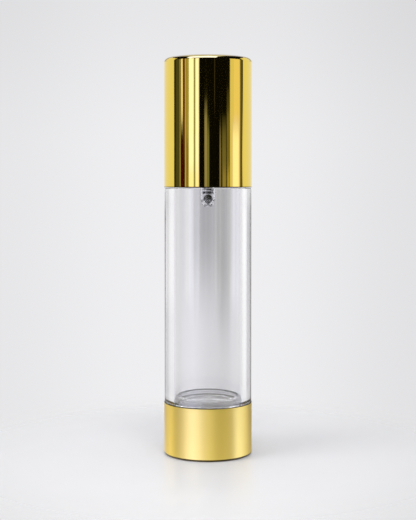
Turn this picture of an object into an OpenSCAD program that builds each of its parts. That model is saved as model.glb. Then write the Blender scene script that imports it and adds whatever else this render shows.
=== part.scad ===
// Airless pump bottle: mirror-gold overcap, clear chamber with a rising follower
// piston, satin-gold base, and a spring-return pump that screws on the neck.
// Millimetres, +Z up, origin at the middle of the foot. The spout faces -Y.

/* [Clear body] */
// Outside diameter of the clear body
body_d = 29; // [28:0.5:33]
// Wall thickness of the clear body
body_wall = 3.05; // [2.8:0.05:3.6]
// Height of the clear wall between the base and the cap
clear_h = 71.2; // [50:0.2:95]
// Height of the stepped-in spigot that the collar slides over
spigot_h = 4.6; // [3.5:0.1:8]
// Thickness of the plate that carries the neck
plate_t = 1.6; // [1.2:0.1:2.4]
// Outside diameter of the neck
neck_d = 18.8; // [17.8:0.1:19.2]
// Wall thickness of the neck
neck_wall = 1.7; // [1.2:0.1:2.2]
// Height of the neck above its plate
neck_h = 7; // [6:0.1:10]
// Radius on the outer edges of the clear body
body_edge = 0.3; // [0.1:0.05:0.5]
// Shadow gap between the clear body and each gold sleeve
seam = 0.2; // [0.1:0.05:0.4]

/* [Base] */
// Height of the gold base shell
base_h = 17.4; // [15:0.2:26]
// How far the base and cap shells stand proud of the clear body
sleeve_proud = 0.15; // [0.05:0.05:0.4]
// Wall of the base shell
base_t = 0.5; // [0.35:0.05:0.7]
// Radius round the foot
foot_edge = 0.8; // [0.6:0.1:1.2]
// Width of the rim that is turned in under the foot
foot_lip_w = 2.3; // [1.8:0.1:3.5]
// Wall of the plug that lines the base
plug_wall = 0.65; // [0.5:0.05:0.8]
// Floor thickness of the plug
plug_floor = 1.5; // [1:0.1:2.2]
// Height of the ring that the follower lands on
landing_h = 3.2; // [2:0.1:4]
// Vent hole in the middle of the plug
vent_d = 1.5; // [1:0.1:2.5]

/* [Follower piston] */
// Height of the follower piston
follower_h = 14.4; // [12.6:0.1:15]
// Radius on the outer edge of its raised rim
shoulder_r = 1.2; // [0.8:0.1:1.4]
// Width of the raised rim
rim_w = 1.5; // [1.3:0.1:2.2]
// Depth of the dish inside the rim
dish_depth = 2.5; // [1.5:0.1:3]
// Fall of the dish from the rim to the well
dish_fall = 1.2; // [0.4:0.1:2]
// Wall of the follower
follower_wall = 1.1; // [0.8:0.1:1.4]
// Height of each wiping lip
lip_h = 0.9; // [0.6:0.1:1.4]
// Well in the middle that swallows the valve nose
well_d = 6; // [5.6:0.1:7.5]

/* [Overcap] */
// Wall of the overcap shell
cap_t = 0.5; // [0.35:0.05:0.7]
// Radius round the top of the overcap
cap_edge = 1.5; // [1:0.1:2.5]
// Wall of the overcap liner
liner_t = 0.7; // [0.5:0.05:0.8]
// Thickness of the liner's crown
crown_t = 1.1; // [0.8:0.1:2]
// Free height between the button and the liner's crown
headroom = 5.5; // [4.5:0.1:12]
// Number of guide ribs inside the liner
liner_ribs = 12; // [6:1:24]

/* [Collar] */
// Wall of the collar shell
collar_t = 0.45; // [0.35:0.05:0.6]
// Radius on the collar's shoulder
collar_edge = 0.8; // [0.5:0.1:1.2]
// Wall of the nut's threaded part
nut_wall = 1.15; // [0.9:0.05:1.3]
// Thickness of the nut's web and outer skirt
nut_t = 1.2; // [1:0.05:1.4]
// Number of ribs between the nut's two walls
nut_ribs = 12; // [6:1:18]
// Wall of the sleeve that guides the button
guide_wall = 0.5; // [0.4:0.05:0.7]

/* [Button] */
// Diameter of the button
button_d = 19.4; // [18.6:0.1:20]
// Height of the button
button_h = 15.8; // [14:0.1:20]
// Wall of the button's gold shell
button_t = 0.4; // [0.3:0.05:0.5]
// Radius round the top of the button
button_edge = 1.2; // [0.8:0.1:1.5]
// Depth of the finger dish in its top
dish_h = 0.6; // [0.3:0.1:0.8]
// Height of the spout's axis above the button's lower edge
spout_h = 10.6; // [9:0.1:11]
// Outside diameter of the spout
spout_d = 3.5; // [3:0.1:4]
// How far the spout stands out of the button
spout_out = 2.2; // [1.5:0.1:2.4]
// Orifice of the spout
orifice_d = 0.9; // [0.6:0.1:1.2]

/* [Pump] */
// Travel of the button
stroke = 5.2; // [4:0.1:5.6]
// Bore of the pump barrel
barrel_d = 7.2; // [6.8:0.1:7.8]
// Wall of the pump barrel
barrel_wall = 1; // [0.7:0.05:1.2]
// Thickness of the housing's flange
flange_t = 1; // [0.8:0.1:1.5]
// Thickness of the neck gasket
gasket_t = 0.8; // [0.5:0.1:1.2]
// Outside diameter of the stem
stem_d = 4; // [3.6:0.1:4.2]
// Bore of the stem
stem_bore = 2.3; // [2:0.1:2.6]
// Height of the pump piston
piston_h = 3.6; // [3:0.1:4]
// Lost motion between the stem and the pump piston
piston_float = 0.8; // [0.4:0.1:1]
// Bore of the valve nose
nose_bore = 3.9; // [3.8:0.1:4.1]
// Wall of the valve nose
nose_wall = 0.5; // [0.4:0.05:0.7]
// Length of the valve nose below the barrel
nose_h = 8.4; // [7.6:0.1:9]
// Diameter of the inlet ball
ball_d = 3.2; // [3:0.1:3.4]
// Travel of the inlet ball
ball_lift = 0.6; // [0.4:0.1:0.8]
// Bore of the inlet under the ball
inlet_d = 1.8; // [1.4:0.1:2]
// Wire of the return spring
wire_d = 0.5; // [0.4:0.05:0.5]
// Number of turns of the return spring
spring_turns = 7; // [5:0.5:8]

/* [Hidden] */

// Facets of a full turn, and steps of a rounded edge
$fn = 96;
edge_steps = 6;
// Clearances: pressed together, running, sliding, and standing clear
fit = 0.03;
run = 0.05;
slip = 0.2;
air = 0.3;

// Colours as the finished parts show them
mirror_gold = "#E3BE4E";
satin_gold = "#E6CB6C";
clear_plastic = [0.86, 0.86, 0.89, 0.35];
natural_plastic = [0.82, 0.83, 0.86, 0.6];
white_plastic = "#F1F1EE";
steel = "#9A9CA0";
rubber = "#D8D8D6";

// Radii from the outside in
body_r = body_d / 2;
sleeve_r = body_r + sleeve_proud;
chamber_r = body_r - body_wall;
plug_r = sleeve_r - base_t - fit;
skirt_r = plug_r - plug_wall - fit;
liner_r = sleeve_r - cap_t - fit;
liner_in = liner_r - liner_t;
collar_r = liner_in - slip;
collar_in = collar_r - collar_t;
spigot_r = collar_in - 2 * run;
neck_r = neck_d / 2;
neck_in = neck_r - neck_wall;
flange_r = neck_r - 0.1;
button_r = button_d / 2;
guide_in = button_r + slip;
guide_r = guide_in + guide_wall;
tower_in = guide_r + fit;
tower_r = tower_in + collar_t;
nut_in = neck_r + slip;
nut_r = collar_in - fit;

// Heights of the base and the clear body
plug_z0 = base_t + fit;
plug_z1 = plug_z0 + plug_floor;
landing_z = plug_z1 + landing_h;
follower_z0 = landing_z + air;
follower_z1 = follower_z0 + follower_h;
wall_z0 = base_h + seam;
wall_z1 = wall_z0 + clear_h;
plate_z = wall_z1 + spigot_h;
neck_z = plate_z + neck_h;

// Heights of the pump, from the neck up
guide_overlap = 1.4;
flange_z0 = neck_z + gasket_t;
flange_z1 = flange_z0 + flange_t;
nut_web_z0 = flange_z1 + run;
nut_web_z1 = nut_web_z0 + nut_t;
collar_z0 = wall_z1 + air;
collar_z1 = nut_web_z1 + air + collar_t;
button_z0 = nut_web_z1 + air + stroke;
button_z1 = button_z0 + button_h;
tower_z = button_z0 + guide_overlap;
spout_z = button_z0 + spout_h;

// The stem guide caps the barrel's rim, inside the nut's hole
barrel_r = barrel_d / 2 + barrel_wall;
rim_h = 2.2;
rim_z = flange_z1 + rim_h;
guide_plug_h = 0.5;
guide_cap_wall = 0.95;
guide_cap_r = barrel_r + fit + guide_cap_wall;
guide_cap_t = 0.8;
guide_cap_z = rim_z + guide_cap_t;
web_hole_r = guide_cap_r + slip;

// The moving column: stem flange, pump piston, rod head
stem_r = stem_d / 2;
socket_z = guide_cap_z + stroke + air;
stem_flange_t = 0.8;
stem_flange_z1 = rim_z - guide_plug_h - slip;
stem_flange_z0 = stem_flange_z1 - stem_flange_t;
piston_z1 = stem_flange_z0 - piston_float - run;
piston_z0 = piston_z1 - piston_h;
head_t = 0.85;
head_z1 = piston_z0 - run;
head_z0 = head_z1 - head_t;
stem_z0 = head_z1 + piston_float + run;
channel_r = 0.9;
stem_z1 = spout_z - channel_r - 0.15;
spout_seat_y = button_r - button_t - fit - 3;

// The barrel's floor lies below the pressed rod, and the nose hangs from it
barrel_floor_z1 = head_z0 - stroke - air;
barrel_floor_t = 1;
barrel_floor_z0 = barrel_floor_z1 - barrel_floor_t;
nose_in = nose_bore / 2;
nose_r = nose_in + nose_wall;
nose_z0 = barrel_floor_z0 - nose_h;
inlet_r = inlet_d / 2;
inlet_l = 0.9;
seat_slope = 37;
seat_z0 = nose_z0 + inlet_l;
seat_z1 = seat_z0 + (nose_in - inlet_r) / tan(seat_slope);
ball_r = ball_d / 2;
ball_z = seat_z0 - inlet_r / tan(seat_slope) + (ball_r + fit) / sin(seat_slope);

// The cage ring stops the lifted ball where it touches the ring's inner edge
cage_in = 1.1;
cage_t = 0.8;
cage_z0 = ball_z + ball_lift + sqrt(ball_r * ball_r - cage_in * cage_in) + run;
cage_z1 = cage_z0 + cage_t;

// The return spring stands on the cage and lifts the rod head
wire_r = wire_d / 2;
coil_r = nose_in - run - wire_r;
spring_z0 = cage_z1 + run + wire_r;
spring_z1 = head_z0 - run - wire_r;
rings_per_turn = 8;
wire_sides = 6;
spring_rings = round(spring_turns * rings_per_turn);
spring_angles = [for (i = [0:spring_rings]) 360 * spring_turns * i / spring_rings];
spring_path = [for (i = [0:spring_rings]) [
    coil_r * cos(spring_angles[i]), coil_r * sin(spring_angles[i]),
    spring_z0 + (spring_z1 - spring_z0) * i / spring_rings
]];
spring_gaps = [
    for (i = [0:spring_rings - rings_per_turn / 2], j = [i + rings_per_turn / 2:spring_rings])
        norm(spring_path[i] - spring_path[j]) - wire_d
];
tail_r = coil_r - wire_r - slip;
tail_l = 1.5;

// Heights of the overcap
cap_z0 = wall_z1 + seam;
liner_z0 = cap_z0 + 0.6;
crown_z = button_z1 + headroom;
liner_z1 = crown_z + crown_t;
cap_z1 = liner_z1 + fit + cap_t;
bead_z = liner_z0 + 1.6;
bead_h = 1;

// Width of every moulded rib, and the drawn edges' small chamfers and hems
rib_w = 0.8;
burr = 0.12;
hem = 0.2;

// The follower ends its travel just under the barrel, with the nose in its well
plate_under_z = plate_z - plate_t;
top_stop_z = min(plate_under_z, barrel_floor_z0) - air;
well_r = well_d / 2;
well_depth = top_stop_z - nose_z0 + air;
lip_r = chamber_r - fit;
waist_r = lip_r - 0.5;
follower_travel = top_stop_z - follower_z1;

echo(total_height = cap_z1, follower_travel = follower_travel, ball_rest_z = ball_z);
echo(swept_volume_ml = PI * chamber_r * chamber_r * follower_travel / 1000);
echo(spring_least_gap = min(spring_gaps));

// Points of a round stretch of an outline, from angle a0 to a1
function arc(cx, cz, r, a0, a1, n = edge_steps) =
    [for (i = [0:n]) let (a = a0 + (a1 - a0) * i / n) [cx + r * cos(a), cz + r * sin(a)]];

// A solid of revolution about Z from an outline of [radius, height] points
module turned(outline) {
    rotate_extrude() polygon(outline);
}

// A plain ring about Z
module ring(r_in, r_out, z0, z1) {
    translate([0, 0, z0]) difference() {
        cylinder(r = r_out, h = z1 - z0);
        translate([0, 0, -1]) cylinder(r = r_in, h = z1 - z0 + 2);
    }
}

// A cylinder that lies along -Y from y0 to y1, at height z
module along_spout(r, y0, y1, z) {
    translate([0, -y0, z]) rotate([90, 0, 0]) cylinder(r = r, h = y1 - y0);
}

// Radial ribs between two radii, spaced evenly
module ribs(count, r0, r1, z0, z1, width) {
    for (i = [0:count - 1])
        rotate([0, 0, (i + 0.5) * 360 / count])
            translate([r0, -width / 2, z0]) cube([r1 - r0, width, z1 - z0]);
}

// Gold cup, open at the top, with its foot rim turned in
module base_shell() {
    lip_in = sleeve_r - foot_lip_w;
    in_r = sleeve_r - base_t;
    in_edge = foot_edge - base_t;
    color(satin_gold) turned(concat(
        [[lip_in, 0]],
        arc(sleeve_r - foot_edge, foot_edge, foot_edge, -90, 0),
        [[sleeve_r, base_h - burr], [sleeve_r - burr, base_h]],
        [[in_r + burr, base_h], [in_r, base_h - burr]],
        arc(in_r - in_edge, base_t + in_edge, in_edge, 0, -90),
        [[lip_in, base_t]]
    ));
}

// Plastic cup that lines the base, closes the chamber and lands the follower
module base_plug() {
    edge = foot_edge - base_t + 0.1;
    rim = base_h - 0.5;
    landing_w = 1.6;
    hub_r = 3;
    hub_h = 0.8;
    recess_r = sleeve_r - foot_lip_w - 1.2;
    recess_h = 0.35;
    color(white_plastic) difference() {
        union() {
            turned(concat(
                [[0, plug_z0]],
                arc(plug_r - edge, plug_z0 + edge, edge, -90, 0),
                [[plug_r, rim], [plug_r - plug_wall, rim]],
                [[plug_r - plug_wall, plug_z1], [0, plug_z1]]
            ));
            ring(chamber_r - landing_w, chamber_r - fit, plug_z0 + recess_h, landing_z);
            cylinder(r = hub_r, h = plug_z1 + hub_h);
        }
        // Shallow recess under the floor, so the part stands on the gold rim
        translate([0, 0, -1]) cylinder(r = recess_r, h = 1 + plug_z0 + recess_h);
        translate([0, 0, -1]) cylinder(d = vent_d, h = plug_z1 + hub_h + 2);
    }
}

// Clear thick-walled chamber with its skirt, spigot and neck
module bottle_body() {
    e = body_edge;
    lead = 0.5;
    corner = 1;
    color(clear_plastic) turned(concat(
        [[chamber_r + lead, plug_z1 + fit], [skirt_r, plug_z1 + fit], [skirt_r, wall_z0]],
        arc(body_r - e, wall_z0 + e, e, -90, 0, 4),
        arc(body_r - e, wall_z1 - e, e, 0, 90, 4),
        [[spigot_r, wall_z1]],
        arc(spigot_r - e, plate_z - e, e, 0, 90, 4),
        [[neck_r, plate_z], [neck_r, neck_z - e], [neck_r - e, neck_z]],
        [[neck_in, neck_z], [neck_in, plate_under_z]],
        arc(chamber_r - corner, plate_under_z - corner, corner, 90, 0),
        [[chamber_r, plug_z1 + fit + lead]]
    ));
}

// Follower: raised rim round a dished floor, two wiping lips, hollow below, well for the nose
module follower_piston() {
    t = follower_wall;
    top = follower_z1;
    in_r = waist_r - t;
    well_floor = top - well_depth;
    lead = 0.4;
    lip_step = 0.1;
    draft = 0.1;
    root = 0.3;
    inner_root = 1;
    rim_edge = min(shoulder_r, rim_w - lip_step - draft - root / 3);
    lip_z1 = top - rim_edge - lip_step;
    undercut = lip_r - waist_r;
    rim_in = lip_r - rim_w;
    floor_z1 = top - dish_depth;
    slope = dish_fall / (rim_in - root - well_r - lead);
    mouth_z = floor_z1 - dish_fall;
    under_z = floor_z1 - t - slope * (rim_in - root - in_r + inner_root);
    color(natural_plastic) turned(concat(
        [[0, well_floor], [well_r, well_floor], [well_r, mouth_z - lead], [well_r + lead, mouth_z]],
        arc(rim_in - root, floor_z1 + root, root, 270, 360, 3),
        [[rim_in + draft, top - root / 3]],
        arc(lip_r - lip_step - rim_edge, top - rim_edge, rim_edge, 90, 0, 8),
        [[lip_r, lip_z1], [lip_r, lip_z1 - lip_h], [waist_r, lip_z1 - lip_h - undercut]],
        [[waist_r, follower_z0 + lip_h + undercut], [lip_r, follower_z0 + lip_h]],
        [[lip_r, follower_z0 + lip_step], [lip_r - lip_step, follower_z0], [in_r, follower_z0]],
        arc(in_r - inner_root, under_z - inner_root, inner_root, 0, 90),
        [[well_r + t, mouth_z - t], [well_r + t, well_floor - t], [0, well_floor - t]]
    ));
}

// Flat seal between the neck and the housing's flange
module neck_gasket() {
    color(rubber) ring(barrel_r + slip, flange_r, neck_z, flange_z0);
}

// Housing: rim, flange, barrel, and the valve nose with its ball seat
module pump_housing() {
    bore = barrel_d / 2;
    tip_r = inlet_r + 0.6;
    taper_z = seat_z1 + 0.1;
    snap = 0.2;
    snap_h = 0.9;
    chamfer = 0.3;
    color(natural_plastic) turned([
        [inlet_r, nose_z0], [tip_r, nose_z0], [nose_r, taper_z], [nose_r, barrel_floor_z0],
        [barrel_r - chamfer, barrel_floor_z0], [barrel_r, barrel_floor_z0 + chamfer],
        [barrel_r, flange_z0], [flange_r, flange_z0], [flange_r, flange_z1],
        [barrel_r - snap, flange_z1], [barrel_r - snap, flange_z1 + snap_h],
        [barrel_r, flange_z1 + snap_h + snap], [barrel_r, rim_z - chamfer],
        [barrel_r - chamfer, rim_z], [bore, rim_z], [bore, barrel_floor_z1],
        [nose_in, barrel_floor_z1], [nose_in, seat_z1], [inlet_r, seat_z0]
    ]);
}

// Slotted ring over the ball: keeps it in the nose and carries the spring
module ball_cage() {
    slots = 4;
    slot_w = 0.7;
    slot_depth = 0.35;
    color(steel) difference() {
        ring(cage_in, nose_in - fit, cage_z0, cage_z1);
        for (i = [0:slots - 1])
            rotate([0, 0, i * 360 / slots])
                translate([0, -slot_w / 2, cage_z0 - 1])
                    cube([cage_in + slot_depth, slot_w, cage_t + 2]);
    }
}

// Steel ball of the inlet valve
module inlet_ball() {
    color(steel) translate([0, 0, ball_z]) sphere(r = ball_r);
}

// One round-wire helix, swept ring by ring, with flat ends
module return_spring() {
    n = spring_rings;
    m = wire_sides;
    points = [
        for (i = [0:n], j = [0:m - 1])
            let (a = spring_angles[i], b = 360 * j / m, out = wire_r * cos(b))
            spring_path[i] + [out * cos(a), out * sin(a), wire_r * sin(b)]
    ];
    walls = [
        for (i = [0:n - 1], j = [0:m - 1])
            let (p = i * m + j, q = i * m + (j + 1) % m)
            each [[p, p + m, q], [q, p + m, q + m]]
    ];
    start = [for (j = [1:m - 2]) [0, j, j + 1]];
    end = [for (j = [1:m - 2]) [n * m, n * m + j + 1, n * m + j]];
    color(steel) polyhedron(points, concat(walls, start, end));
}

// Rod: valve head under the piston, tail in the spring, finned shank in the stem
module piston_rod() {
    shank_r = stem_bore / 2 - 0.35;
    fin_w = 0.6;
    fin_r = sqrt(pow(stem_bore / 2 - fit, 2) - pow(fin_w / 2, 2));
    head_r = barrel_d / 2 - 0.8;
    tail_z = head_z0 - tail_l;
    fins_z0 = guide_cap_z + 0.8;
    fins_z1 = stem_z1 - 1.5;
    lead = 0.3;
    color(white_plastic) {
        turned([
            [0, tail_z], [tail_r - lead, tail_z], [tail_r, tail_z + lead],
            [tail_r, head_z0], [head_r, head_z0], [head_r, head_z0 + head_t / 2],
            [stem_r + run, head_z1], [shank_r, head_z1], [shank_r, fins_z1], [0, fins_z1]
        ]);
        for (i = [0:2])
            rotate([0, 0, 120 * i])
                translate([0, -fin_w / 2, fins_z0]) cube([fin_r, fin_w, fins_z1 - fins_z0]);
    }
}

// Pump piston: a soft sleeve on the stem with an upper and a lower lip
module pump_piston() {
    seal_r = barrel_d / 2 - run;
    core_r = seal_r - 0.6;
    sleeve_edge = core_r - 0.5;
    lip_t = 0.35;
    lip_edge = 0.4;
    groove = 0.7;
    flare = 1.3;
    color(natural_plastic) turned([
        [stem_r + run, piston_z0], [sleeve_edge, piston_z0], [core_r - 0.2, piston_z0 + groove],
        [seal_r - lip_t, piston_z0], [seal_r, piston_z0], [seal_r, piston_z0 + lip_edge],
        [core_r, piston_z0 + flare], [core_r, piston_z1 - flare],
        [seal_r, piston_z1 - lip_edge], [seal_r, piston_z1], [seal_r - lip_t, piston_z1],
        [core_r - 0.2, piston_z1 - groove], [sleeve_edge, piston_z1], [stem_r + run, piston_z1]
    ]);
}

// Hollow stem with the flange that drives the piston down
module pump_stem() {
    drive_r = barrel_d / 2 - 0.6;
    lead = 0.3;
    color(white_plastic) turned([
        [stem_bore / 2, stem_z0], [stem_r, stem_z0], [stem_r, stem_flange_z0],
        [drive_r, stem_flange_z0], [drive_r, stem_flange_z1 - lead],
        [drive_r - lead, stem_flange_z1], [stem_r, stem_flange_z1],
        [stem_r, stem_z1 - lead], [stem_r - lead, stem_z1], [stem_bore / 2, stem_z1]
    ]);
}

// Cap on the barrel's rim that guides the stem and stops it at the top
module stem_guide() {
    plug_r = barrel_d / 2 - fit;
    plug_z = rim_z - guide_plug_h;
    grip_z = flange_z1 + slip;
    chamfer = 0.3;
    color(white_plastic) turned([
        [stem_r + run, plug_z], [plug_r, plug_z], [plug_r, rim_z + fit],
        [barrel_r + fit, rim_z + fit], [barrel_r + fit, grip_z], [guide_cap_r, grip_z],
        [guide_cap_r, guide_cap_z - chamfer], [guide_cap_r - chamfer, guide_cap_z],
        [stem_r + run, guide_cap_z]
    ]);
}

// Closure: threaded wall on the neck, outer skirt, web, ribs and button guide
module collar_nut() {
    wall_r = nut_in + nut_wall;
    skirt_in = nut_r - nut_t;
    low = plate_z + slip;
    rib_z = low + 0.8;
    root = nut_t / 4;
    color(white_plastic) {
        ring(nut_in, wall_r, low, nut_web_z1);
        ring(skirt_in, nut_r, low, nut_web_z1);
        ring(web_hole_r, nut_r - root, nut_web_z0, nut_web_z1);
        ring(guide_in, guide_r, nut_web_z0 + root, tower_z - air);
        ribs(nut_ribs, wall_r - root, skirt_in + root, rib_z, nut_web_z0 + root, rib_w);
    }
}

// Gold drawn collar: wide skirt, shoulder, and the tower round the button
module collar_shell() {
    t = collar_t;
    e = collar_edge;
    root = 0.4;
    color(mirror_gold) turned(concat(
        [[collar_in, collar_z0], [collar_r, collar_z0]],
        arc(collar_r - e, collar_z1 - e, e, 0, 90),
        arc(tower_r + root, collar_z1 + root, root, 270, 180, 4),
        arc(tower_r - hem, tower_z - hem, hem, 0, 90, 4),
        [[tower_in, tower_z], [tower_in, collar_z1 - t]],
        arc(collar_in - (e - t), collar_z1 - e, e - t, 90, 0, 4)
    ));
}

// Moulded inside of the button: skirt, stem socket, spout channel and ribs
module button_core() {
    out_r = button_r - button_t - fit;
    wall = 0.9;
    mid_wall = out_r - wall / 2;
    low = button_z0 + air;
    top = button_z1 - button_t - dish_h - fit;
    roof_z = top - 1.2;
    socket_r = stem_r + 1.3;
    boss_r = spout_d / 2 + 0.55;
    color(white_plastic) difference() {
        union() {
            ring(out_r - wall, out_r, low, top);
            translate([0, 0, roof_z]) cylinder(r = mid_wall, h = top - roof_z);
            translate([0, 0, socket_z]) cylinder(r = socket_r, h = top - socket_z);
            along_spout(boss_r, 0, mid_wall, spout_z);
            ribs(6, stem_r + fit, mid_wall, spout_z, top, rib_w);
        }
        translate([0, 0, socket_z - 1]) cylinder(r = stem_r + fit, h = stem_z1 + fit - socket_z + 1);
        translate([0, 0, stem_z1]) cylinder(r = channel_r, h = spout_z + channel_r - stem_z1);
        along_spout(channel_r, 0, out_r + 1, spout_z);
        along_spout(spout_d / 2 + fit, spout_seat_y, out_r + 1, spout_z);
    }
}

// Gold drawn cup over the button, dished for the fingertip, pierced for the spout
module button_shell() {
    t = button_t;
    e = button_edge;
    flat_r = button_r - e;
    dish_r = (flat_r * flat_r + dish_h * dish_h) / (2 * dish_h);
    half = asin(flat_r / dish_r);
    color(mirror_gold) difference() {
        turned(concat(
            arc(0, button_z1 - dish_h + dish_r, dish_r, 270, 270 + half, 8),
            arc(flat_r, button_z1 - e, e, 90, 0, 9),
            [[button_r, button_z0 + burr], [button_r - burr, button_z0]],
            [[button_r - t, button_z0], [button_r - t, button_z1 - dish_h - t]],
            [[0, button_z1 - dish_h - t]]
        ));
        along_spout(spout_d / 2 + run, 0, button_r + 1, spout_z);
    }
}

// Spout insert pressed into the button, with a stepped orifice
module spout_tip() {
    seat_y = spout_seat_y + fit;
    tip_y = button_r + spout_out;
    r = spout_d / 2;
    nose_edge = 0.6;
    orifice_l = 0.8;
    color(white_plastic) translate([0, 0, spout_z]) rotate([90, 0, 0])
        turned(concat(
            [[channel_r, seat_y], [r, seat_y]],
            arc(r - nose_edge, tip_y - nose_edge, nose_edge, 0, 90),
            [[orifice_d / 2, tip_y], [orifice_d / 2, tip_y - orifice_l]],
            [[channel_r, tip_y - orifice_l - nose_edge]]
        ));
}

// Plastic liner of the overcap: crown, snap bead and guide ribs
module overcap_liner() {
    edge = cap_edge - cap_t + 0.1;
    inner_edge = 0.8;
    lead = 0.2;
    rib_depth = 0.45;
    rib_z0 = collar_z1 + 2;
    rib_z1 = crown_z - inner_edge;
    color(white_plastic) {
        turned(concat(
            [[liner_in, liner_z0], [liner_r - lead, liner_z0], [liner_r, liner_z0 + 2 * lead]],
            arc(liner_r - edge, liner_z1 - edge, edge, 0, 90),
            [[0, liner_z1], [0, crown_z]],
            arc(liner_in - inner_edge, crown_z - inner_edge, inner_edge, 90, 0),
            [[liner_in, bead_z + bead_h], [collar_r + run, bead_z + bead_h / 2], [liner_in, bead_z]]
        ));
        ribs(liner_ribs, liner_in - rib_depth, liner_in + lead, rib_z0, rib_z1, rib_w);
    }
}

// Mirror-gold drawn overcap
module overcap_shell() {
    t = cap_t;
    e = cap_edge;
    color(mirror_gold) turned(concat(
        [[0, cap_z1]],
        arc(sleeve_r - e, cap_z1 - e, e, 90, 0, 12),
        [[sleeve_r, cap_z0 + burr], [sleeve_r - burr, cap_z0], [sleeve_r - t, cap_z0]],
        arc(sleeve_r - e, cap_z1 - e, e - t, 0, 90),
        [[0, cap_z1 - t]]
    ));
}

base_shell();
base_plug();
bottle_body();
follower_piston();
neck_gasket();
pump_housing();
ball_cage();
inlet_ball();
return_spring();
piston_rod();
pump_piston();
pump_stem();
stem_guide();
collar_nut();
collar_shell();
button_core();
button_shell();
spout_tip();
overcap_liner();
overcap_shell();
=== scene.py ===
"""Airless pump bottle: polished gold overcap over a clear airless chamber on a satin gold base.

Every piece keeps the packed model's shape and place. This script gives the pieces their finishes,
winds the smooth return spring, cuts the neck's thread and sets the photograph's stage.
"""
import math
from collections import namedtuple

import bmesh
import bpy
from bpy.props import FloatProperty, FloatVectorProperty, IntProperty, PointerProperty
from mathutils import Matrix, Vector


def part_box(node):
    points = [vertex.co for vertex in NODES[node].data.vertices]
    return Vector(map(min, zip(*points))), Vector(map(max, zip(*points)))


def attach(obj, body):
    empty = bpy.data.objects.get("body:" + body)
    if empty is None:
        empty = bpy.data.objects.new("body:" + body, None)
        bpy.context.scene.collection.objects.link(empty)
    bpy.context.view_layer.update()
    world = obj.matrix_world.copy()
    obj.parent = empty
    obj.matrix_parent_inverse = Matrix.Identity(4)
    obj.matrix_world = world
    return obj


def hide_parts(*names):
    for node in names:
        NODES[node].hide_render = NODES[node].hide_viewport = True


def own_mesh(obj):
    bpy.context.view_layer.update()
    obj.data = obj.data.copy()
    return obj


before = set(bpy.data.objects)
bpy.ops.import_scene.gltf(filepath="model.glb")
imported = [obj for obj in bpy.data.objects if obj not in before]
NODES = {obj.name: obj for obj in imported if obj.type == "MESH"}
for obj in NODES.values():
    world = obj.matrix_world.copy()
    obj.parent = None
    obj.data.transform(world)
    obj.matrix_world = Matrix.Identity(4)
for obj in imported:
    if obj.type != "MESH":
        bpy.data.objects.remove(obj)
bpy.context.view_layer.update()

bl_info = {
    "name": "Airless Pump Bottle",
    "version": (1, 0, 0),
    "blender": (4, 5, 0),
    "location": "View3D > Sidebar > Airless Bottle",
    "description": "Finishes, return spring, neck thread and studio stage of an airless pump bottle",
    "category": "Object",
}

MM = 0.001

# Which pieces take which finish
FINISHED_IN = {
    "mirror_gold": ("overcap_shell", "collar_shell", "button_shell"),
    "satin_gold": ("base_shell",),
    "clear_body": ("bottle_body",),
    "frosted": ("follower_piston", "pump_piston"),
    "glassy": ("pump_housing",),
    "white_plastic": (
        "base_plug", "overcap_liner", "collar_nut", "button_core", "spout_tip",
        "pump_stem", "piston_rod", "stem_guide",
    ),
    "steel": ("ball_cage", "inlet_ball", "return_spring"),
    "gasket": ("neck_gasket",),
}

# Painted shade: dark lines at the shells' edges, for the shaded gaps and the table's contact there: how
# far each reaches below and above the edge
CAP_RIM_LINE = (0.1 * MM, 0.28 * MM)
FOOT_LINE = (0.1 * MM, 0.76 * MM)
BASE_RIM_LINE = (0.16 * MM, 0.1 * MM)
EDGE_SOFT = 0.06 * MM
# The colour of the painted shade at the shells' edges and at the clear wall's seat
PAINTED_SHADE_COLOUR = (0.05, 0.034, 0.01)

# Painted shade on the clear wall's seat on the base: where it darkens below and above the base's rim, and
# how much
SEAT_LINE = (0.04 * MM, 0.26 * MM)
SEAT_SOFT = 0.04 * MM
SEAT_SHADE_SHARE = 0.42

# The part of a noise's range that drives most roughnesses
NOISE_LOW, NOISE_HIGH = 0.3, 0.7

BLACK = (0.0, 0.0, 0.0, 1.0)
WHITE = (1.0, 1.0, 1.0, 1.0)

# Sockets of the Mix node, by number because its number and colour sockets share their names
MIX_SHARE, MIX_NUMBER_A, MIX_NUMBER_B, MIX_NUMBER_OUT = 0, 2, 3, 0
MIX_COLOUR_A, MIX_COLOUR_B, MIX_COLOUR_OUT = 6, 7, 2

# A studio panel as the bottle's gloss sees it: bearings from the camera's side and heights, in degrees,
# its colour, and how softly its sides and its ends fade
LightPanel = namedtuple("LightPanel", "left right low high colour soft fade")
# A softbox overhead: angles in degrees from the camera's side up and over, its reach across, from -1 to 1
Softbox = namedtuple("Softbox", "start end fade left right soft colour")


def grey(level):
    return (level, level, level)


def stripe(left, right, colour, soft, low=-6, high=16, fade=3):
    """An upright panel whose reflection stripes the polished shells"""
    return LightPanel(left, right, low, high, colour, soft, fade)


def base_light(left, right, colour, soft):
    """A panel below the horizon, which the satin base shows"""
    return LightPanel(left, right, low=-90, high=-10.5, colour=colour, soft=soft, fade=2)


# A bearing past straight back, so that the left and right walls don't fade where they meet there
ROUND = 400

WALL = (0.87, 0.88, 0.88)
DIM_WALL = grey(0.5)
BRIGHT = (1.25, 1.28, 2.5)
CREAM = (1.25, 1.45, 3.9)
DARK_ROOM = (0.003, 0.003, 0.002)

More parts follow.
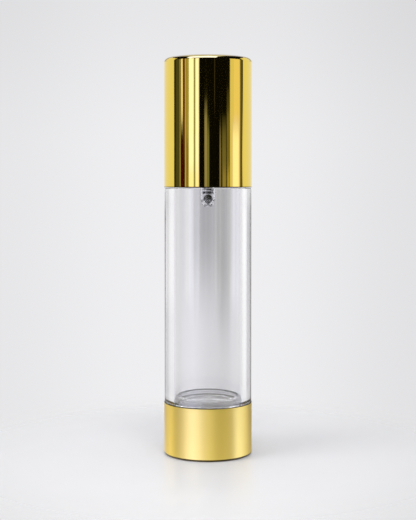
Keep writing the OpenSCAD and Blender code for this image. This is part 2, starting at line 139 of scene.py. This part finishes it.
WALLS = (
    # Left, from behind the bottle to its side
    LightPanel(-ROUND, -99.5, -1, 8.5, WALL, 3, 2),
    LightPanel(-150, -99.5, 8, 35, WALL, 8, 2),
    LightPanel(-ROUND, -150, 8, 35, DIM_WALL, 8, 2),
    LightPanel(-152, -99.5, -6, -1, WALL, 4, 3),
    LightPanel(-152, -99.5, -10.5, -6, grey(0.20), 4, 3),
    LightPanel(-ROUND, -150, -10.5, -2, grey(0.22), 6, 2),
    # Right, from the side to behind the bottle
    LightPanel(103.5, ROUND, -1, 8.5, WALL, 3, 2),
    LightPanel(103.5, 150, 8, 35, WALL, 8, 2),
    LightPanel(150, ROUND, 8, 35, DIM_WALL, 8, 2),
    LightPanel(103.5, 122, -10.5, -1, WALL, 4, 2),
    LightPanel(101, ROUND, -0.5, 3, (0.98, 0.97, 1.0), 3, 5),
    LightPanel(152, ROUND, -10.5, -0.5, grey(0.40), 6, 2),
)
STRIPES = (
    # From the dark left edge to the windows
    stripe(-98, -93, (0.035, 0.035, 0.0), 2),
    stripe(-92, -79, (0.075, 0.08, 0.06), 3),
    stripe(-79.2, -76, (0.38, 0.38, 0.30), 2),
    stripe(-74.3, -68.9, (1.0, 0.98, 1.8), 1.5, low=3.0, fade=1.5),
    stripe(-76, -64.5, (0.05, 0.004, 0.0), 3, high=2.2, fade=2.5),
    stripe(-68.4, -62.9, (0.13, 0.04, 0.02), 2, low=1.5),
    stripe(-62.5, -57.5, (0.56, 0.46, 0.34), 2),
    stripe(-57, -54.5, (0.34, 0.34, 0.08), 2, low=2.0, fade=2),
    stripe(-54.5, -51, (0.52, 0.54, 0.44), 2),
    # Two bright windows at the front left, paler above
    stripe(-50.6, -37.3, BRIGHT, 2),
    stripe(-50.6, -37.3, CREAM, 2, low=0.3, fade=1),
    stripe(-38, -34, (0.34, 0.36, 0.26), 2),
    stripe(-33, -23.5, BRIGHT, 4),
    stripe(-33, -23.5, CREAM, 4, low=0.3, fade=1),
    # Faint streaks in the dark front
    stripe(-9, -2, (0.31, 0.31, 0.46), 2, high=3.6, fade=1.4),
    stripe(-2, 3, (0.18, 0.21, 0.2), 3, high=2.8, fade=1.4),
    stripe(15.8, 18.2, (0.035, 0.03, 0.05), 1.5, low=3.6, fade=1.5),
    stripe(30, 34, (0.21, 0.20, 0.3), 2, high=2.5, fade=1.6),
    stripe(37, 48, (0.16, 0.16, 0.14), 3, high=2.7, fade=2.0),
    stripe(38, 48, (0.28, 0.26, 0.22), 3, high=1.0, fade=1.5),
    stripe(50, 58, (0.18, 0.17, 0.10), 3, high=3.8, fade=2.4),
    stripe(51, 58, (0.42, 0.38, 0.2), 2, high=0.9, fade=1.5),
    # The bright right side and the dark line at its edge
    stripe(59, 70, (0.78, 0.76, 0.78), 3),
    stripe(68, 92, (0.90, 0.83, 0.85), 6),
    stripe(66, 89.5, BRIGHT, 9, high=3.2, fade=2.5),
    stripe(92, 99, (0.13, 0.12, 0.08), 2),
)
BASE_LIGHTS = (
    base_light(-ROUND, -104, (1.05, 1.02, 0.98), 6),
    base_light(-128, -102, (1.5, 1.42, 1.1), 8),
    base_light(-104, -66, (0.96, 0.94, 0.88), 14),
    base_light(-76, -5, (1.85, 1.95, 3.1), 40),
    base_light(-54, -30, (2.2, 2.3, 4.6), 20),
    base_light(-20, 22, (1.50, 1.50, 1.45), 26),
    base_light(10, 66, (0.98, 0.96, 0.80), 20),
    base_light(74, 108, (1.9, 2.1, 3.3), 12),
    base_light(100, 136, (0.98, 0.98, 1.0), 10),
    base_light(130, ROUND, (0.62, 0.58, 0.5), 12),
)
SOFTBOXES = (
    Softbox(37, 74, 5, -0.70, 0.32, 0.05, (1.6, 1.95, 8.5)),
    Softbox(72, 150, 6, -0.45, 0.35, 0.1, (0.62, 0.70, 1.8)),
)

# Light behind the bottle as the clear body passes it, for the upper body and for the foot of the wall:
# degrees to the side of straight back, and brightness
BACKLIGHT_HIGH = (
    (-84, 0.9), (-60, 0.93), (-46, 1.0), (-34, 0.92), (-26, 0.76), (-17, 0.77), (-8, 0.86), (-6.3, 0.86),
    (-5, 0.66), (-2.6, 0.57), (-1.3, 0.50), (0.3, 0.48), (1.3, 0.56), (4, 0.45), (5.4, 0.45),
    (6.6, 0.52), (9.8, 0.60), (12.5, 0.73), (18, 0.74), (26, 0.80), (34, 1.0), (46, 1.08),
    (60, 0.95), (84, 0.9),
)
BACKLIGHT_LOW = (
    (-84, 0.8), (-60, 0.93), (-44, 0.98), (-34, 0.93), (-26, 0.82), (-18, 0.80), (-10, 0.91),
    (-5, 0.93), (0, 0.80), (5.3, 0.74), (8, 0.76), (12, 0.83), (24, 0.83), (34, 0.94), (44, 1.0),
    (60, 0.92), (84, 0.8),
)
BACK_START, BACK_SPAN = -90, 180

TABLE_COLOUR = grey(0.83)
TABLE_SIDES = 128
# How far from the axis the camera begins to see through the table, and where it sees none of it
TABLE_FADE = (0.03, 0.11)

# Soft lamps: name, place, size, and the stage setting that holds the power
LAMPS = (
    ("key", (-0.42, -0.22, 0.45), 0.30, "key_power"),
    ("front", (0.10, -0.60, 0.45), 0.50, "front_power"),
)
LAMP_AIM = Vector((0, 0, 0.03))


# Sizes and colours that a user would change


class BottleFinishes(bpy.types.PropertyGroup):
    """Colours and gloss of the bottle's materials"""

    mirror_colour: FloatVectorProperty(
        name="Polished gold", description="Colour of the polished gold shells",
        subtype="COLOR", size=3, min=0, max=1, default=(0.935, 0.69, 0.10))
    mirror_roughness: FloatProperty(
        name="Polish", description="Roughness of the polished gold",
        subtype="FACTOR", min=0, max=1, default=0.035)
    satin_colour: FloatVectorProperty(
        name="Satin gold", description="Colour of the base shell",
        subtype="COLOR", size=3, min=0, max=1, default=(0.93, 0.70, 0.17))
    satin_roughness: FloatProperty(
        name="Satin", description="Roughness of the base shell",
        subtype="FACTOR", min=0, max=1, default=0.36)
    clear_colour: FloatVectorProperty(
        name="Clear plastic", description="Tint of the clear body",
        subtype="COLOR", size=3, min=0, max=1, default=(0.960, 0.955, 0.964))
    clear_ior: FloatProperty(
        name="Clear IOR", description="Refractive index of the clear body",
        min=1.3, max=1.8, default=1.57)
    natural_colour: FloatVectorProperty(
        name="Natural plastic", description="Colour of the translucent mouldings",
        subtype="COLOR", size=3, min=0, max=1, default=(0.94, 0.94, 0.955))
    white_colour: FloatVectorProperty(
        name="White plastic", description="Colour of the white mouldings and the gasket",
        subtype="COLOR", size=3, min=0, max=1, default=(0.86, 0.86, 0.84))
    steel_colour: FloatVectorProperty(
        name="Steel", description="Colour of the spring, ball and cage",
        subtype="COLOR", size=3, min=0, max=1, default=(0.10, 0.10, 0.115))


class SpringSizes(bpy.types.PropertyGroup):
    """The return spring's wire and turns"""

    wire: FloatProperty(
        name="Wire", description="Diameter of the spring's wire", unit="LENGTH",
        min=0.2 * MM, max=0.8 * MM, default=0.5 * MM)
    turns: FloatProperty(
        name="Turns", description="Number of turns", min=3, max=12, default=7)
    pressed: FloatProperty(
        name="Travel", description="How far the button shortens the spring", unit="LENGTH",
        min=0, max=8 * MM, default=5.2 * MM)
    rings: IntProperty(
        name="Rings a turn", description="Rings of the swept wire in each turn",
        min=8, max=64, default=36)
    sides: IntProperty(
        name="Wire sides", description="Sides of the swept wire", min=6, max=24, default=12)


class ThreadSizes(bpy.types.PropertyGroup):
    """The neck's screw thread"""

    pitch: FloatProperty(
        name="Pitch", description="Rise of the thread in one turn", unit="LENGTH",
        min=2 * MM, max=5 * MM, default=3.175 * MM)
    turns: FloatProperty(
        name="Turns", description="Turns of the thread on the neck", min=0.5, max=3, default=1.5)
    depth: FloatProperty(
        name="Depth", description="Height of the ridge above the neck", unit="LENGTH",
        min=0.05 * MM, max=0.2 * MM, default=0.15 * MM)
    width: FloatProperty(
        name="Width", description="Width of the ridge at its root", unit="LENGTH",
        min=0.4 * MM, max=2 * MM, default=1.1 * MM)
    rings: IntProperty(
        name="Rings a turn", description="Rings of the swept ridge in each turn",
        min=24, max=144, default=72)


class StageSettings(bpy.types.PropertyGroup):
    """Camera, table, backdrop and studio light"""

    eye_distance: FloatProperty(
        name="Distance", description="Distance from the camera to the bottle's axis",
        unit="LENGTH", min=0.1, max=3, default=0.392)
    eye_height: FloatProperty(
        name="Height", description="Height of the camera above the table",
        unit="LENGTH", min=0, max=1, default=0.0903)
    tilt: FloatProperty(
        name="Tilt", description="How far the camera looks down",
        subtype="ANGLE", default=math.radians(1.5))
    lens: FloatProperty(
        name="Lens", description="Focal length in millimetres", unit="CAMERA", default=81.2)
    shift_up: FloatProperty(
        name="Shift", description="Shift of the frame, as a share of its height", default=-0.088)
    backdrop: FloatVectorProperty(
        name="Backdrop", description="Colour behind the bottle",
        subtype="COLOR", size=3, min=0, max=1, default=(0.86, 0.86, 0.875))
    table_radius: FloatProperty(
        name="Table", description="Radius of the table top", unit="LENGTH",
        min=0.1, max=2, default=0.36)
    top_light: FloatProperty(
        name="Top light", description="Strength from above, inside the clear body", min=0, max=9,
        default=5.0)
    fill: FloatProperty(
        name="Fill", description="Strength of the light from all round", min=0, max=3, default=0.69)
    key_power: FloatProperty(
        name="Key", description="Power of the lamp at the front left", unit="POWER",
        min=0, max=50, default=1.2)
    front_power: FloatProperty(
        name="Front", description="Power of the lamp in front", unit="POWER",
        min=0, max=50, default=2.8)


# Node graphs


class Graph:
    """Adds nodes to a tree and joins them"""

    def __init__(self, tree):
        self.tree = tree
        tree.nodes.clear()

    def add(self, kind, inputs=None, **settings):
        """A node; an input is a value or another node's output"""
        node = self.tree.nodes.new(kind)
        for name, value in settings.items():
            setattr(node, name, value)
        for name, value in (inputs or {}).items():
            if isinstance(value, bpy.types.NodeSocket):
                self.tree.links.new(value, node.inputs[name])
            else:
                node.inputs[name].default_value = value
        return node

    def math(self, operation, a, b=0.0, clamp=False):
        return self.add("ShaderNodeMath", {0: a, 1: b}, operation=operation, use_clamp=clamp).outputs[0]

    def rise(self, value, start, end, low=0.0, high=1.0):
        """low up to start, high from end, and a smooth step between"""
        node = self.add(
            "ShaderNodeMapRange",
            {"Value": value, "From Min": start, "From Max": end, "To Min": low, "To Max": high},
            interpolation_type="SMOOTHSTEP")
        return node.outputs["Result"]

    def varied(self, noise, low, high):
        """From low to high over the middle of a noise's range"""
        return self.rise(noise, NOISE_LOW, NOISE_HIGH, low, high)

    def window(self, value, start, end, soft):
        """One between start and end, and zero outside"""
        rise = self.rise(value, start - soft / 2, start + soft / 2)
        fall = self.rise(value, end - soft / 2, end + soft / 2, 1.0, 0.0)
        return self.math("MULTIPLY", rise, fall)

    def mixed(self, share, first, second):
        """From the first number to the second as share goes from zero to one"""
        node = self.add("ShaderNodeMix", {MIX_SHARE: share, MIX_NUMBER_A: first, MIX_NUMBER_B: second})
        return node.outputs[MIX_NUMBER_OUT]

    def mixed_colour(self, share, first, second, kind="MIX"):
        """From the first colour to the second as share goes from zero to one"""
        node = self.add(
            "ShaderNodeMix", {MIX_SHARE: share, MIX_COLOUR_A: first, MIX_COLOUR_B: second},
            data_type="RGBA", blend_type=kind)
        return node.outputs[MIX_COLOUR_OUT]

    def mixed_shader(self, share, first, second):
        """From the first shader to the second as share goes from zero to one"""
        return self.add("ShaderNodeMixShader", {0: share, 1: first, 2: second}).outputs["Shader"]

    def lighter(self, first, second, share):
        """The brighter of the first colour and a share of the second, channel by channel"""
        return self.mixed_colour(1.0, first, self.mixed_colour(share, BLACK, rgba(second)), "LIGHTEN")

    def ramp(self, share, stops):
        """Brightness by stops in degrees, over the half circle behind the bottle"""
        node = self.add("ShaderNodeValToRGB", {"Fac": share})
        elements = node.color_ramp.elements
        elements.remove(elements[1])
        for i, (degrees, level) in enumerate(stops):
            place = (degrees - BACK_START) / BACK_SPAN
            stop = elements[0] if i == 0 else elements.new(place)
            stop.position = place
            stop.color = rgba(grey(level))
        return node.outputs["Color"]

    def noise(self, vector, scale, detail):
        return self.add(
            "ShaderNodeTexNoise", {"Vector": vector, "Scale": scale, "Detail": detail}).outputs["Fac"]

    def bump(self, height, strength, distance):
        return self.add(
            "ShaderNodeBump",
            {"Height": height, "Strength": strength, "Distance": distance}).outputs["Normal"]

    def place(self):
        return self.add("ShaderNodeTexCoord").outputs["Object"]

    def height(self):
        """Height on the piece, which is its height above the table at rest"""
        return self.add("ShaderNodeSeparateXYZ", {0: self.place()}).outputs["Z"]

    def stretched(self, scale):
        """Object place with each axis scaled, for grain that runs one way"""
        return self.add("ShaderNodeMapping", {"Vector": self.place(), "Scale": scale}).outputs["Vector"]

    def principled(self, **inputs):
        """The plastic or metal shader; an input's name has an underscore for each space"""
        named = {name.replace("_", " "): value for name, value in inputs.items()}
        return self.add("ShaderNodeBsdfPrincipled", named).outputs["BSDF"]

    def emission(self, colour, strength):
        return self.add("ShaderNodeEmission", {"Color": colour, "Strength": strength}).outputs["Emission"]

    def surface(self, shader, output="ShaderNodeOutputMaterial"):
        self.add(output, {"Surface": shader})


def new_material(name):
    material = bpy.data.materials.new(name)
    material.use_nodes = True
    return material, Graph(material.node_tree)


def rgba(colour):
    return (*colour, 1.0)


def finish_nodes(slot, material):
    """Gives every CAD piece of one finish its material"""
    for name in FINISHED_IN[slot]:
        node = NODES[name]
        node.data.materials.clear()
        node.data.materials.append(material)
    return material


# Materials


def edge_line(g, edge, reach, soft):
    """One along a thin line at the height of an edge, and zero elsewhere"""
    below, above = reach
    return g.window(g.height(), edge - below, edge + above, soft)


def polished_gold(look):
    """Drawn shell with faint upright streaks under a clear lacquer, and a dark line of painted shade at
    the cap's rim
    """
    material, g = new_material("polished_gold")
    streaks = g.noise(g.stretched((900, 900, 25)), scale=1.0, detail=3.0)
    ripple = g.noise(g.place(), scale=90.0, detail=1.0)
    cap_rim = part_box("overcap_shell")[0].z
    # Painted shade: a dark line round the cap's lower rim, where the gap below it is in shade
    painted_edge_shade = edge_line(g, cap_rim, CAP_RIM_LINE, EDGE_SOFT)
    g.surface(g.principled(
        Base_Color=g.mixed_colour(painted_edge_shade, rgba(look.mirror_colour), rgba(PAINTED_SHADE_COLOUR)),
        Metallic=1.0,
        Roughness=g.rise(streaks, 0.3, 0.75, look.mirror_roughness, look.mirror_roughness * 1.8),
        Coat_Weight=0.2, Coat_Roughness=0.02, Coat_IOR=1.45,
        Normal=g.bump(ripple, strength=0.12, distance=0.0002)))
    return material


def satin_gold(look):
    """Blasted and anodised shell, with dark lines of painted shade round its foot and its rim"""
    material, g = new_material("satin_gold")
    grain = g.noise(g.place(), scale=9000.0, detail=2.0)
    tone = g.noise(g.place(), scale=150.0, detail=2.0)
    foot, rim = (corner.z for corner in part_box("base_shell"))
    # Painted shade: dark lines round the foot, where it meets the table, and round the rim, where the gap
    # to the clear body is in shade
    foot_line = edge_line(g, foot, FOOT_LINE, EDGE_SOFT)
    rim_line = edge_line(g, rim, BASE_RIM_LINE, EDGE_SOFT)
    painted_edge_shade = g.math("MAXIMUM", foot_line, rim_line)
    g.surface(g.principled(
        Base_Color=g.mixed_colour(painted_edge_shade, rgba(look.satin_colour), rgba(PAINTED_SHADE_COLOUR)),
        Metallic=1.0,
        Roughness=g.varied(tone, look.satin_roughness * 0.95, look.satin_roughness * 1.05),
        Normal=g.bump(grain, strength=0.08, distance=0.00003)))
    return material


def clear_plastic(look):
    """Thick clear wall with faint flow waves, and a little painted shade where it sits on the base"""
    material, g = new_material("clear_plastic")
    flow = g.noise(g.stretched((60, 60, 8)), scale=1.0, detail=1.0)
    clear = g.principled(
        Base_Color=rgba(look.clear_colour), Roughness=0.0, IOR=look.clear_ior,
        Specular_Tint=rgba((1.0, 0.985, 0.7)), Transmission_Weight=1.0,
        Normal=g.bump(flow, strength=0.05, distance=0.0002))
    base_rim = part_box("base_shell")[1].z
    # Painted shade: a share of dark diffuse mixed in where the wall sits in the base's rim
    seat_shade = g.math("MULTIPLY", edge_line(g, base_rim, SEAT_LINE, SEAT_SOFT), SEAT_SHADE_SHARE)
    shadow = g.add("ShaderNodeBsdfDiffuse", {"Color": rgba(PAINTED_SHADE_COLOUR)}).outputs["BSDF"]
    g.surface(g.mixed_shader(seat_shade, clear, shadow))
    return material


def natural_plastic(look, name, through, rough):
    """Translucent moulding: through is the share of light that passes, rough its mean roughness"""
    material, g = new_material(name)
    haze = g.noise(g.place(), scale=300.0, detail=2.0)
    g.surface(g.principled(
        Base_Color=rgba(look.natural_colour), IOR=1.5, Transmission_Weight=through,
        Roughness=g.varied(haze, rough * 0.8, rough * 1.2),
        Normal=g.bump(haze, strength=0.015, distance=0.0001)))
    return material


def white_plastic(look):
    """White moulding with a fine spark-eroded grain"""
    material, g = new_material("white_plastic")
    grain = g.noise(g.place(), scale=5000.0, detail=2.0)
    tone = g.noise(g.place(), scale=120.0, detail=1.0)
    g.surface(g.principled(
        Base_Color=rgba(look.white_colour), IOR=1.49,
        Roughness=g.varied(tone, 0.34, 0.44),
        Subsurface_Weight=0.15, Subsurface_Scale=0.0006,
        Normal=g.bump(grain, strength=0.1, distance=0.00003)))
    return material


def drawn_steel(look):
    """Steel with the fine lines of drawing"""
    material, g = new_material("drawn_steel")
    lines = g.noise(g.stretched((4000, 4000, 900)), scale=1.0, detail=2.0)
    g.surface(g.principled(
        Base_Color=rgba(look.steel_colour), Metallic=1.0,
        Roughness=g.varied(lines, 0.12, 0.24),
        Normal=g.bump(lines, strength=0.08, distance=0.00002)))
    return material


def soft_gasket(look):
    """Matt foamed sheet"""
    material, g = new_material("soft_gasket")
    pores = g.noise(g.place(), scale=7000.0, detail=3.0)
    g.surface(g.principled(
        Base_Color=rgba(look.white_colour),
        Roughness=g.varied(pores, 0.55, 0.7),
        Normal=g.bump(pores, strength=0.25, distance=0.00005)))
    return material


# Swept shapes


def swept(name, rings):
    """A closed bar through rings of points, each ring with as many points as the next"""
    mesh = bmesh.new()
    loops = [[mesh.verts.new(point) for point in ring] for ring in rings]
    sides = len(loops[0])
    for near, far in zip(loops, loops[1:]):
        for j in range(sides):
            k = (j + 1) % sides
            mesh.faces.new((near[j], near[k], far[k], far[j]))
    mesh.faces.new(reversed(loops[0]))
    mesh.faces.new(loops[-1])
    bmesh.ops.recalc_face_normals(mesh, faces=mesh.faces)
    for face in mesh.faces:
        face.smooth = len(face.verts) == 4
    data = bpy.data.meshes.new(name)
    mesh.to_mesh(data)
    mesh.free()
    piece = bpy.data.objects.new(name, data)
    bpy.context.scene.collection.objects.link(piece)
    return piece


def outward(turn):
    """The direction away from the axis at an angle round it"""
    return Vector((math.cos(turn), math.sin(turn), 0))


def upward(height):
    return Vector((0, 0, height))


def wound_spring(sizes):
    """Round wire wound between the same ends as the packed spring, and as wide"""
    low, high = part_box("return_spring")
    wire_r = sizes.wire / 2
    coil_r = high.x - wire_r
    start, end = low.z + wire_r, high.z - wire_r
    count = round(sizes.turns * sizes.rings)
    rings = []
    for i in range(count + 1):
        share = i / count
        out = outward(2 * math.pi * sizes.turns * share)
        centre = coil_r * out + upward(start + (end - start) * share)
        rings.append([
            centre + wire_r * (math.cos(a) * out + upward(math.sin(a)))
            for a in (2 * math.pi * j / sizes.sides for j in range(sizes.sides))
        ])
    return swept("wound_spring", rings)


def neck_thread(sizes):
    """A low ridge that climbs the neck and fades at both ends"""
    gasket_inset = 0.1 * MM
    gap_above = 0.9 * MM
    sunk = 0.05 * MM
    faded_share = 0.12
    neck_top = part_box("bottle_body")[1].z
    neck_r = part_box("neck_gasket")[1].x + gasket_inset
    climb = sizes.pitch * sizes.turns
    start = neck_top - gap_above - climb - sizes.width / 2
    root_half, crest_half = sizes.width / 2, sizes.width / 5
    count = round(sizes.turns * sizes.rings)
    rings = []
    for i in range(count + 1):
        share = i / count
        out = outward(2 * math.pi * sizes.turns * share)
        level = min(1.0, share / faded_share, (1 - share) / faded_share)
        z = start + climb * share
        root, crest = neck_r - sunk, neck_r + sizes.depth * level
        rings.append([
            root * out + upward(z - root_half), crest * out + upward(z - crest_half),
            crest * out + upward(z + crest_half), root * out + upward(z + root_half),
        ])
    return swept("neck_thread", rings)


# Operators


class AIRLESS_OT_gold_shells(bpy.types.Operator):
    """Polish the overcap, collar and button, and give the base its satin gold"""

    bl_idname = "airless.gold_shells"
    bl_label = "Gold Shells"

    def execute(self, context):
        look = context.scene.bottle_finishes
        finish_nodes("mirror_gold", polished_gold(look))
        finish_nodes("satin_gold", satin_gold(look))
        return {"FINISHED"}


class AIRLESS_OT_clear_body(bpy.types.Operator):
    """Make the thick-walled chamber clear and cut its neck's thread"""

    bl_idname = "airless.clear_body"
    bl_label = "Clear Body"

    def execute(self, context):
        clear = finish_nodes("clear_body", clear_plastic(context.scene.bottle_finishes))
        thread = neck_thread(context.scene.thread_sizes)
        thread.data.materials.append(clear)
        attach(thread, "container")
        return {"FINISHED"}


class AIRLESS_OT_mouldings(bpy.types.Operator):
    """Finish the translucent and white mouldings and the neck's gasket"""

    bl_idname = "airless.mouldings"
    bl_label = "Mouldings"

    def execute(self, context):
        look = context.scene.bottle_finishes
        finish_nodes("frosted", natural_plastic(look, "frosted_plastic", through=0.88, rough=0.14))
        finish_nodes("glassy", natural_plastic(look, "glassy_plastic", through=0.96, rough=0.06))
        finish_nodes("white_plastic", white_plastic(look))
        finish_nodes("gasket", soft_gasket(look))
        return {"FINISHED"}


class AIRLESS_OT_pump_metal(bpy.types.Operator):
    """Finish the ball and its cage, and wind the return spring"""

    bl_idname = "airless.pump_metal"
    bl_label = "Pump Metal"

    def execute(self, context):
        steel = finish_nodes("steel", drawn_steel(context.scene.bottle_finishes))
        sizes = context.scene.spring_sizes
        spring = wound_spring(sizes)
        spring.data.materials.append(steel)
        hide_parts("return_spring")
        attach(spring, "pump")
        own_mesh(spring)
        return {"FINISHED"}


class AIRLESS_OT_stage(bpy.types.Operator):
    """Set the table, the backdrop, the studio panels, the lamps and the camera"""

    bl_idname = "airless.stage"
    bl_label = "Stage"

    def execute(self, context):
        settings = context.scene.stage_settings
        make_camera(settings)
        make_table(settings)
        make_world(settings)
        make_lamps(settings)
        context.scene.view_settings.view_transform = "Standard"
        return {"FINISHED"}


# Stage


def make_camera(settings):
    camera = bpy.data.objects.new("camera", bpy.data.cameras.new("camera"))
    bpy.context.scene.collection.objects.link(camera)
    camera.location = (0, -settings.eye_distance, settings.eye_height)
    camera.rotation_euler = (math.pi / 2 - settings.tilt, 0, 0)
    camera.data.lens = settings.lens
    camera.data.sensor_width = 36
    camera.data.shift_y = settings.shift_up
    camera.data.clip_start = 0.01
    bpy.context.scene.camera = camera


def table_top():
    """Glossy and pale, and faded into the backdrop where the camera sees its far parts"""
    material, g = new_material("table_top")
    top = g.principled(
        Base_Color=rgba(TABLE_COLOUR), Roughness=0.3, IOR=1.6, Specular_Tint=rgba((1.0, 0.98, 0.75)))
    place = g.add("ShaderNodeSeparateXYZ", {0: g.place()})
    across = g.math("MULTIPLY", place.outputs["X"], place.outputs["X"])
    along = g.math("MULTIPLY", place.outputs["Y"], place.outputs["Y"])
    reach = g.math("SQRT", g.math("ADD", across, along))
    near, far = TABLE_FADE
    fade = g.math(
        "MULTIPLY", g.rise(reach, near, far), g.add("ShaderNodeLightPath").outputs["Is Camera Ray"])
    nothing = g.add("ShaderNodeBsdfTransparent").outputs["BSDF"]
    g.surface(g.mixed_shader(fade, top, nothing))
    return material


def make_table(settings):
    """A disc that carries the bottle's shadow and that gloss and clear plastic don't see"""
    mesh = bmesh.new()
    bmesh.ops.create_circle(mesh, cap_ends=True, segments=TABLE_SIDES, radius=settings.table_radius)
    data = bpy.data.meshes.new("table")
    mesh.to_mesh(data)
    mesh.free()
    data.materials.append(table_top())
    table = bpy.data.objects.new("table", data)
    bpy.context.scene.collection.objects.link(table)
    table.visible_glossy = False
    table.visible_transmission = False


# A ray's direction in the world: its parts, and angles in degrees. Bearing is from the camera's side,
# behind from straight back, pitch from the camera's side up and over, and height above the horizon.
Way = namedtuple("Way", "x y bearing behind pitch height")


def ray_way(g):
    direction = g.add("ShaderNodeSeparateXYZ", {0: g.add("ShaderNodeTexCoord").outputs["Generated"]})
    x, y, z = (direction.outputs[axis] for axis in "XYZ")
    nearer = g.math("MULTIPLY", y, -1.0)
    return Way(
        x=x, y=y,
        bearing=g.math("DEGREES", g.math("ARCTAN2", x, nearer)),
        behind=g.math("DEGREES", g.math("ARCTAN2", x, y)),
        pitch=g.math("DEGREES", g.math("ARCTAN2", z, nearer)),
        height=g.math("DEGREES", g.math("ARCSINE", z)))


def studio_colour(g, way):
    """What gloss sees: walls, stripes, lights low down and softboxes overhead in a dark room"""
    colour = rgba(DARK_ROOM)
    for panel in (*WALLS, *STRIPES, *BASE_LIGHTS):
        across = g.window(way.bearing, panel.left, panel.right, panel.soft)
        upright = g.window(way.height, panel.low, panel.high, panel.fade)
        colour = g.lighter(colour, panel.colour, g.math("MULTIPLY", across, upright))
    for box in SOFTBOXES:
        along = g.window(way.pitch, box.start, box.end, box.fade)
        across = g.window(way.x, box.left, box.right, box.soft)
        colour = g.lighter(colour, box.colour, g.math("MULTIPLY", along, across))
    return colour


def light_from_behind(g, way):
    """Streaks behind the bottle, which change towards the foot of the wall and dim a little at it"""
    share = g.math("DIVIDE", g.math("SUBTRACT", way.behind, BACK_START), BACK_SPAN, clamp=True)
    # A little right of the middle the upper streaks reach further down
    lowered = g.math("MULTIPLY", g.window(way.behind, start=3.5, end=9.5, soft=3), 1.5)
    upper = g.rise(g.math("ADD", way.height, lowered), start=-7.5, end=-2.0)
    streaks = g.mixed(upper, g.ramp(share, BACKLIGHT_LOW), g.ramp(share, BACKLIGHT_HIGH))
    return g.math("MULTIPLY", streaks, g.rise(way.height, start=-10.5, end=-8.5, low=0.93, high=1.0))


def light_from_front(g, way, studio):
    """The studio's own brightness, held between a floor low down and a ceiling at the base's height"""
    front = g.add("ShaderNodeSeparateColor", {0: studio}).outputs["Green"]
    front = g.math("MAXIMUM", front, g.rise(way.height, start=-12, end=3, low=0.78, high=0.0))
    return g.math("MINIMUM", front, g.rise(way.height, start=-10, end=-8, low=0.8, high=1.3))


def light_through(g, way, studio, top_light):
    """Brightness that the clear body passes: from behind it, from the front, and from above"""
    towards_back = g.rise(way.y, start=0.05, end=0.12)
    around = g.mixed(towards_back, light_from_front(g, way, studio), light_from_behind(g, way))
    return g.math("MAXIMUM", around, g.rise(way.height, start=20, end=35, low=0.0, high=top_light))


def backdrop_shade(g, way):
    """The backdrop's brightness, a little less to both sides and above"""
    left = g.rise(way.behind, start=-11, end=-3, low=0.925, high=1.0)
    right = g.rise(way.behind, start=2, end=11, low=1.0, high=0.885)
    above = g.rise(way.height, start=1, end=10, low=1.0, high=0.92)
    return g.math("MULTIPLY", left, g.math("MULTIPLY", right, above))


def make_world(settings):
    """The backdrop for the camera, studio panels for gloss and clear plastic, even light for the rest"""
    world = bpy.data.worlds.new("studio")
    bpy.context.scene.world = world
    world.use_nodes = True
    g = Graph(world.node_tree)
    way = ray_way(g)
    studio = studio_colour(g, way)
    glossy = g.emission(studio, 1.0)
    through = g.emission(WHITE, light_through(g, way, studio, settings.top_light))
    fill = g.emission(WHITE, settings.fill)
    backdrop = g.emission(rgba(settings.backdrop), backdrop_shade(g, way))
    ray = g.add("ShaderNodeLightPath").outputs
    mirrored_or_passed = g.math("MAXIMUM", ray["Is Glossy Ray"], ray["Is Transmission Ray"])
    panels = g.mixed_shader(ray["Is Transmission Ray"], glossy, through)
    lit = g.mixed_shader(mirrored_or_passed, fill, panels)
    seen = g.mixed_shader(ray["Is Camera Ray"], lit, backdrop)
    g.surface(seen, output="ShaderNodeOutputWorld")


def make_lamps(settings):
    """Soft lamps from the front left and the front, which gloss and clear plastic don't see"""
    for name, place, size, power in LAMPS:
        lamp = bpy.data.objects.new(name, bpy.data.lights.new(name, "AREA"))
        bpy.context.scene.collection.objects.link(lamp)
        lamp.data.size = size
        lamp.data.energy = getattr(settings, power)
        lamp.location = place
        aim = LAMP_AIM - lamp.location
        lamp.rotation_euler = aim.to_track_quat("-Z", "Y").to_euler()
        lamp.visible_glossy = False
        lamp.visible_transmission = False
        lamp.visible_camera = False


# Panel and registration

STEPS = (
    AIRLESS_OT_gold_shells, AIRLESS_OT_clear_body, AIRLESS_OT_mouldings,
    AIRLESS_OT_pump_metal, AIRLESS_OT_stage,
)
SETTINGS = (
    ("bottle_finishes", BottleFinishes), ("spring_sizes", SpringSizes),
    ("thread_sizes", ThreadSizes), ("stage_settings", StageSettings),
)


class AIRLESS_PT_sidebar(bpy.types.Panel):
    """Lists the bottle's settings and the steps that finish it"""

    bl_idname = "AIRLESS_PT_sidebar"
    bl_label = "Airless Bottle"
    bl_space_type = "VIEW_3D"
    bl_region_type = "UI"
    bl_category = "Airless Bottle"

    def draw(self, context):
        for attribute, group in SETTINGS:
            box = self.layout.box()
            box.label(text=group.__doc__)
            for name in group.__annotations__:
                box.prop(getattr(context.scene, attribute), name)
        for step in STEPS:
            self.layout.operator(step.bl_idname)


CLASSES = (*(group for _, group in SETTINGS), *STEPS, AIRLESS_PT_sidebar)


def register():
    for cls in CLASSES:
        bpy.utils.register_class(cls)
    for attribute, group in SETTINGS:
        setattr(bpy.types.Scene, attribute, PointerProperty(type=group))


def unregister():
    for attribute, _ in SETTINGS:
        delattr(bpy.types.Scene, attribute)
    for cls in reversed(CLASSES):
        bpy.utils.unregister_class(cls)


def main():
    register()
    bpy.ops.airless.gold_shells()
    bpy.ops.airless.clear_body()
    bpy.ops.airless.mouldings()
    bpy.ops.airless.pump_metal()
    bpy.ops.airless.stage()


if __name__ == "__main__":
    main()
